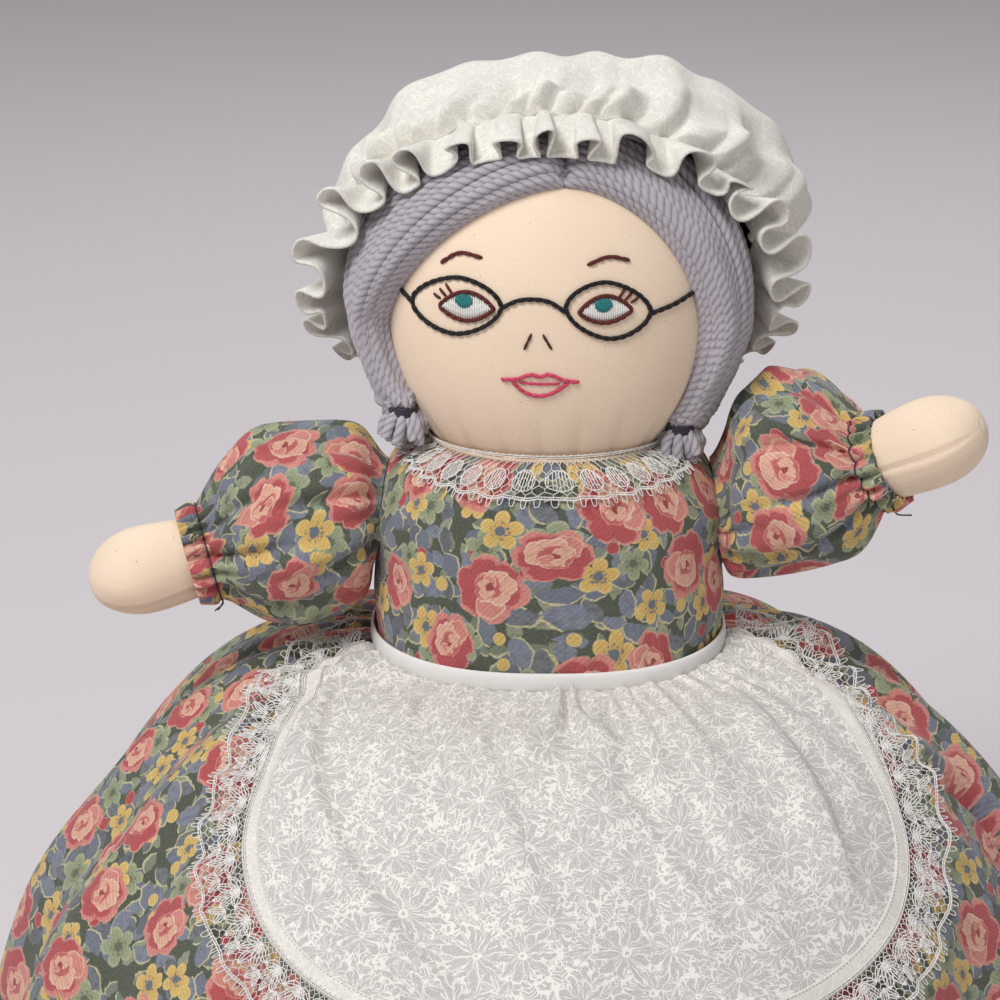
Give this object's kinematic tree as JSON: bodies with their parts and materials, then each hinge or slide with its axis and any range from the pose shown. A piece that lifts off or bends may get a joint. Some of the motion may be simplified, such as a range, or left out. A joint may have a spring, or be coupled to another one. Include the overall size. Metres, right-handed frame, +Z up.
{
  "type": "topsy-turvy doll",
  "caption": "Topsy-turvy cloth doll: a bespectacled granny doll in a mob cap above, a girl doll below, and one reversible full skirt that covers either of them.",
  "frame": {"origin": "on the floor under the middle of the doll, at the crown that the lower doll rests on", "axes": "+Z up along the doll's axis, -Y out of both faces, +X to the right as seen from the front"},
  "size_m": [0.3744, 0.3744, 0.37],
  "materials": {
    "muslin": "plain-weave unbleached cotton",
    "filling": "loose polyester fibre",
    "rose_calico": "printed cotton, roses on dark green",
    "rose_gingham": "woven checked cotton",
    "white_cotton": "white cotton with a tone-on-tone floral print",
    "net_lace": "machine-made net lace",
    "grey_yarn": "worsted yarn",
    "brown_yarn": "worsted yarn",
    "dark_thread": "sewing thread",
    "elastic": "flat braided elastic"
  },
  "bodies": {
    "root": {"upper_head_skin": "muslin", "upper_torso_skin": "muslin", "upper_filling": "filling", "upper_hair": "grey_yarn", "upper_bunch_left": "grey_yarn", "upper_hair_tie_left": "dark_thread", "upper_bunch_right": "grey_yarn", "upper_hair_tie_right": "dark_thread", "upper_bodice_front": "rose_calico", "upper_bodice_back": "rose_calico", "upper_collar_lace": "net_lace", "lower_head_skin": "muslin", "lower_torso_skin": "muslin", "lower_filling": "filling", "lower_hair": "brown_yarn", "lower_bunch_left": "brown_yarn", "lower_hair_tie_left": "dark_thread", "lower_bunch_right": "brown_yarn", "lower_hair_tie_right": "dark_thread", "lower_bodice_front": "rose_gingham", "lower_bodice_back": "rose_gingham", "lower_collar_lace": "net_lace", "mob_cap": "white_cotton", "mob_cap_frill": "white_cotton", "mob_cap_elastic": "elastic", "skirt_outer_front": "rose_calico", "skirt_outer_back": "rose_calico", "skirt_lining_front": "rose_gingham", "skirt_lining_back": "rose_gingham", "apron_waistband": "white_cotton", "apron_panel": "white_cotton", "apron_lace": "net_lace"},
    "upper_left_arm": {"upper_arm_skin_left": "muslin", "upper_arm_filling_left": "filling", "upper_wrist_elastic_left": "elastic", "upper_sleeve_left": "rose_calico"},
    "upper_right_arm": {"upper_arm_skin_right": "muslin", "upper_arm_filling_right": "filling", "upper_wrist_elastic_right": "elastic", "upper_sleeve_right": "rose_calico"},
    "lower_left_arm": {"lower_arm_skin_left": "muslin", "lower_arm_filling_left": "filling", "lower_wrist_elastic_left": "elastic", "lower_sleeve_left": "rose_gingham"},
    "lower_right_arm": {"lower_arm_skin_right": "muslin", "lower_arm_filling_right": "filling", "lower_wrist_elastic_right": "elastic", "lower_sleeve_right": "rose_gingham"},
    "skirt_hem": {"skirt_hem": "rose_calico"}
  },
  "joints": [
    {"name": "upper_left_shoulder", "type": "hinge", "parent": "root", "child": "upper_left_arm", "pos_m": [-0.0628, 0, 0.224], "axis": [0, 1, 0], "range_deg": [-27, 66], "deforming": ["upper_sleeve_left"]},
    {"name": "upper_right_shoulder", "type": "hinge", "parent": "root", "child": "upper_right_arm", "pos_m": [0.0628, 0, 0.224], "axis": [0, -1, 0], "range_deg": [-66, 29], "deforming": ["upper_sleeve_right"]},
    {"name": "lower_left_shoulder", "type": "hinge", "parent": "root", "child": "lower_left_arm", "pos_m": [-0.0628, 0, 0.132], "axis": [0, 1, 0], "range_deg": [-6, 30], "deforming": ["lower_sleeve_left"]},
    {"name": "lower_right_shoulder", "type": "hinge", "parent": "root", "child": "lower_right_arm", "pos_m": [0.0628, 0, 0.132], "axis": [0, -1, 0], "range_deg": [-6, 30], "deforming": ["lower_sleeve_right"]},
    {"name": "skirt_lift", "type": "slide", "parent": "root", "child": "skirt_hem", "axis": [0, 0, 1], "range_m": [0, 0.165], "deforming": ["skirt_outer_front", "skirt_outer_back", "skirt_lining_front", "skirt_lining_back", "apron_panel", "apron_lace"]}
  ]
}
